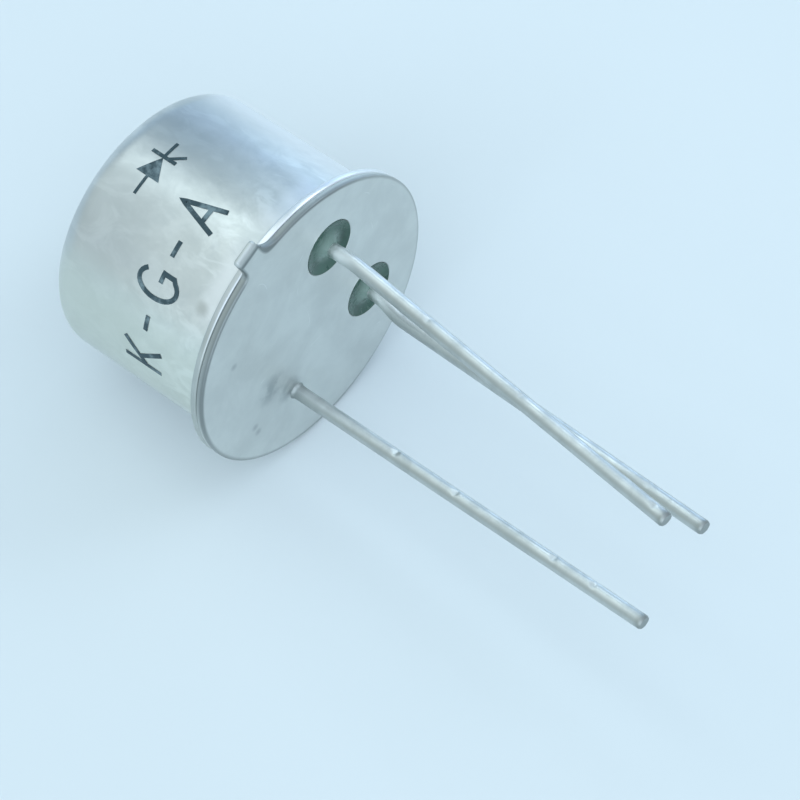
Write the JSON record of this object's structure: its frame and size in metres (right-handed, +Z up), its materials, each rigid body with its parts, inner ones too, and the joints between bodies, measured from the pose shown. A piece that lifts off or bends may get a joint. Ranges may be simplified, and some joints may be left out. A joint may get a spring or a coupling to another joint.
{
  "type": "silicon controlled rectifier",
  "caption": "Low-power thyristor in a hermetic metal can: drawn cap on a tabbed header, glass-sealed cathode and gate leads, anode lead welded to the case.",
  "frame": {"origin": "on the surface that the device lies on, under the middle of its overall box", "axes": "+X towards the free ends of the leads, along the device as it lies; +Z up from the surface; the device's own axis rises towards the leads by 5.4 degrees from +X, in the XZ plane"},
  "size_m": [0.0196, 0.0092, 0.0099],
  "materials": {
    "cap_plate": "satin nickel plate, smudged by handling",
    "header_plate": "matt nickel plate",
    "seal_glass": "fused, dark green, nearly opaque",
    "lead_tin": "tinned, satin",
    "die_solder": "reflowed solder",
    "silicon": "polished chip",
    "bond_wire": "drawn wire"
  },
  "bodies": {
    "root": {"cap": "cap_plate", "header": "header_plate", "cathode_seal": "seal_glass", "gate_seal": "seal_glass", "cathode_lead": "lead_tin", "gate_lead": "lead_tin", "anode_lead": "lead_tin", "die_solder": "die_solder", "die": "silicon", "cathode_bond_wire": "bond_wire", "gate_bond_wire": "bond_wire"}
  },
  "joints": []
}
